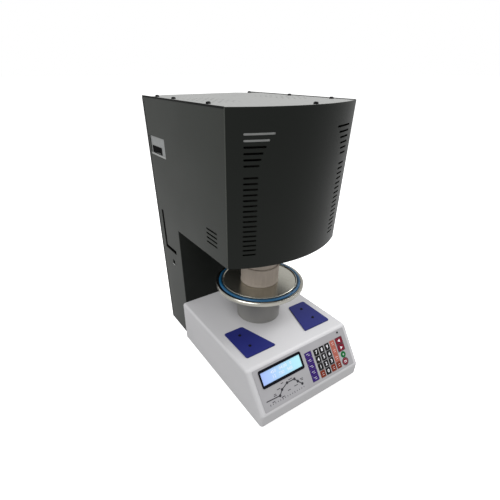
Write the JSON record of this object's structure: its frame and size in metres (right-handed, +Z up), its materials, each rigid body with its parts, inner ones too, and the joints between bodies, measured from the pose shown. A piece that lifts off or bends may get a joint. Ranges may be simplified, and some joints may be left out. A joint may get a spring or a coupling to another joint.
{
  "type": "dental lab furnace",
  "caption": "Dental lab furnace with a dark bowed head on a rear column, a white base with keypad and display, and a lift platform that carries the firing pedestal into the muffle.",
  "frame": {"origin": "middle of the whole object's box, at the surface the feet stand on", "axes": "+Z up, +X to the operator's right, -Y towards the operator"},
  "size_m": [0.33, 0.5472, 0.656],
  "materials": {
    "graphite_paint": "fine satin paint, dark graphite",
    "deep_paint": "satin paint, near black",
    "bare_sheet": "bare light grey sheet",
    "white_paint": "white paint, light sheen",
    "blue_plastic": "dark blue, lightly grained",
    "blue_silicone": "blue silicone, smooth",
    "rubber": "black, matt",
    "satin_steel": "satin steel",
    "mirror_steel": "mirror polished",
    "collar_paint": "mid grey satin paint",
    "refractory": "pale refractory, rough",
    "fibre": "pressed ceramic fibre, off white",
    "brass": "turned brass",
    "overlay": "grey film, matt",
    "black_plastic": "black moulded plastic",
    "lit_screen": "pale blue display glass",
    "board": "green circuit board",
    "key_purple": "purple key",
    "key_black": "black key",
    "key_orange": "orange key",
    "key_salmon": "salmon key",
    "key_maroon": "maroon key",
    "key_green": "green key",
    "key_red": "red key"
  },
  "bodies": {
    "housing": {"left_side_cover": "graphite_paint", "right_side_cover": "graphite_paint", "front_cover": "graphite_paint", "rear_cover": "graphite_paint", "top_plate": "bare_sheet", "column_front_plate": "deep_paint", "head_floor_plate": "deep_paint", "column_frame": "deep_paint", "base_shell": "white_paint", "base_pan": "bare_sheet", "foot_front_left": "rubber", "foot_front_right": "rubber", "foot_rear_left": "rubber", "foot_rear_right": "rubber", "panel_overlay": "overlay", "control_board": "board", "display_frame": "black_plastic", "display_screen": "lit_screen", "left_rest_plate": "blue_plastic", "right_rest_plate": "blue_plastic", "lift_collar": "collar_paint", "lift_motor": "deep_paint", "vacuum_chamber": "satin_steel", "muffle_insulation": "fibre", "heating_coil": "satin_steel", "hose_nipple": "brass", "mains_inlet": "black_plastic"},
    "platform": {"lift_plate": "satin_steel", "seal_ring": "blue_silicone", "mirror_dish": "mirror_steel", "pedestal_block": "refractory", "firing_table": "refractory", "lift_column": "satin_steel"},
    "screw": {"lead_screw": "satin_steel"},
    "rocker": {"power_rocker": "black_plastic"},
    "key_function_1_cap": {"key_function_1": "key_purple"},
    "key_function_2_cap": {"key_function_2": "key_purple"},
    "key_function_3_cap": {"key_function_3": "key_purple"},
    "key_function_4_cap": {"key_function_4": "key_purple"},
    "key_function_5_cap": {"key_function_5": "key_purple"},
    "key_0_cap": {"key_0": "key_black"},
    "key_1_cap": {"key_1": "key_black"},
    "key_2_cap": {"key_2": "key_black"},
    "key_3_cap": {"key_3": "key_black"},
    "key_4_cap": {"key_4": "key_black"},
    "key_5_cap": {"key_5": "key_black"},
    "key_6_cap": {"key_6": "key_black"},
    "key_7_cap": {"key_7": "key_black"},
    "key_8_cap": {"key_8": "key_black"},
    "key_9_cap": {"key_9": "key_black"},
    "key_side_1_cap": {"key_side_1": "key_salmon"},
    "key_side_2_cap": {"key_side_2": "key_salmon"},
    "key_side_3_cap": {"key_side_3": "key_salmon"},
    "key_back_cap": {"key_back": "key_orange"},
    "key_next_cap": {"key_next": "key_orange"},
    "key_enter_cap": {"key_enter": "key_orange"},
    "key_up_cap": {"key_up": "key_maroon"},
    "key_down_cap": {"key_down": "key_maroon"},
    "key_start_cap": {"key_start": "key_green"},
    "key_stop_cap": {"key_stop": "key_red"}
  },
  "joints": [
    {"name": "platform_lift", "type": "slide", "parent": "housing", "child": "platform", "axis": [0, 0, 1], "range_m": [0, 0.116]},
    {"name": "lead_screw_spin", "type": "hinge", "parent": "housing", "child": "screw", "pos_m": [0, -0.02665, 0.06], "axis": [0, 0, 1], "range_deg": [-4180, 0]},
    {"name": "power_rock", "type": "hinge", "parent": "housing", "child": "rocker", "pos_m": [-0.149, 0.20235, 0.545], "axis": [0, 0, 1], "range_deg": [-14, 0]},
    {"name": "press_key_function_1", "type": "slide", "parent": "housing", "child": "key_function_1_cap", "axis": [0, 0.8091, -0.5877], "range_m": [0, 0.00045], "stiffness_N_per_m": 800},
    {"name": "press_key_function_2", "type": "slide", "parent": "housing", "child": "key_function_2_cap", "axis": [0, 0.8091, -0.5877], "range_m": [0, 0.00045], "stiffness_N_per_m": 800},
    {"name": "press_key_function_3", "type": "slide", "parent": "housing", "child": "key_function_3_cap", "axis": [0, 0.8091, -0.5877], "range_m": [0, 0.00045], "stiffness_N_per_m": 800},
    {"name": "press_key_function_4", "type": "slide", "parent": "housing", "child": "key_function_4_cap", "axis": [0, 0.8091, -0.5877], "range_m": [0, 0.00045], "stiffness_N_per_m": 800},
    {"name": "press_key_function_5", "type": "slide", "parent": "housing", "child": "key_function_5_cap", "axis": [0, 0.8091, -0.5877], "range_m": [0, 0.00045], "stiffness_N_per_m": 800},
    {"name": "press_key_0", "type": "slide", "parent": "housing", "child": "key_0_cap", "axis": [0, 0.8091, -0.5877], "range_m": [0, 0.00045], "stiffness_N_per_m": 800},
    {"name": "press_key_1", "type": "slide", "parent": "housing", "child": "key_1_cap", "axis": [0, 0.8091, -0.5877], "range_m": [0, 0.00045], "stiffness_N_per_m": 800},
    {"name": "press_key_2", "type": "slide", "parent": "housing", "child": "key_2_cap", "axis": [0, 0.8091, -0.5877], "range_m": [0, 0.00045], "stiffness_N_per_m": 800},
    {"name": "press_key_3", "type": "slide", "parent": "housing", "child": "key_3_cap", "axis": [0, 0.8091, -0.5877], "range_m": [0, 0.00045], "stiffness_N_per_m": 800},
    {"name": "press_key_4", "type": "slide", "parent": "housing", "child": "key_4_cap", "axis": [0, 0.8091, -0.5877], "range_m": [0, 0.00045], "stiffness_N_per_m": 800},
    {"name": "press_key_5", "type": "slide", "parent": "housing", "child": "key_5_cap", "axis": [0, 0.8091, -0.5877], "range_m": [0, 0.00045], "stiffness_N_per_m": 800},
    {"name": "press_key_6", "type": "slide", "parent": "housing", "child": "key_6_cap", "axis": [0, 0.8091, -0.5877], "range_m": [0, 0.00045], "stiffness_N_per_m": 800},
    {"name": "press_key_7", "type": "slide", "parent": "housing", "child": "key_7_cap", "axis": [0, 0.8091, -0.5877], "range_m": [0, 0.00045], "stiffness_N_per_m": 800},
    {"name": "press_key_8", "type": "slide", "parent": "housing", "child": "key_8_cap", "axis": [0, 0.8091, -0.5877], "range_m": [0, 0.00045], "stiffness_N_per_m": 800},
    {"name": "press_key_9", "type": "slide", "parent": "housing", "child": "key_9_cap", "axis": [0, 0.8091, -0.5877], "range_m": [0, 0.00045], "stiffness_N_per_m": 800},
    {"name": "press_key_side_1", "type": "slide", "parent": "housing", "child": "key_side_1_cap", "axis": [0, 0.8091, -0.5877], "range_m": [0, 0.00045], "stiffness_N_per_m": 800},
    {"name": "press_key_side_2", "type": "slide", "parent": "housing", "child": "key_side_2_cap", "axis": [0, 0.8091, -0.5877], "range_m": [0, 0.00045], "stiffness_N_per_m": 800},
    {"name": "press_key_side_3", "type": "slide", "parent": "housing", "child": "key_side_3_cap", "axis": [0, 0.8091, -0.5877], "range_m": [0, 0.00045], "stiffness_N_per_m": 800},
    {"name": "press_key_back", "type": "slide", "parent": "housing", "child": "key_back_cap", "axis": [0, 0.8091, -0.5877], "range_m": [0, 0.00045], "stiffness_N_per_m": 800},
    {"name": "press_key_next", "type": "slide", "parent": "housing", "child": "key_next_cap", "axis": [0, 0.8091, -0.5877], "range_m": [0, 0.00045], "stiffness_N_per_m": 800},
    {"name": "press_key_enter", "type": "slide", "parent": "housing", "child": "key_enter_cap", "axis": [0, 0.8091, -0.5877], "range_m": [0, 0.00045], "stiffness_N_per_m": 800},
    {"name": "press_key_up", "type": "slide", "parent": "housing", "child": "key_up_cap", "axis": [0, 0.8091, -0.5877], "range_m": [0, 0.00045], "stiffness_N_per_m": 800},
    {"name": "press_key_down", "type": "slide", "parent": "housing", "child": "key_down_cap", "axis": [0, 0.8091, -0.5877], "range_m": [0, 0.00045], "stiffness_N_per_m": 800},
    {"name": "press_key_start", "type": "slide", "parent": "housing", "child": "key_start_cap", "axis": [0, 0.8091, -0.5877], "range_m": [0, 0.00045], "stiffness_N_per_m": 800},
    {"name": "press_key_stop", "type": "slide", "parent": "housing", "child": "key_stop_cap", "axis": [0, 0.8091, -0.5877], "range_m": [0, 0.00045], "stiffness_N_per_m": 800}
  ],
  "couplings": [
    {"joint": "lead_screw_spin", "follows": "platform_lift", "rad_per_m": -628.32}
  ]
}
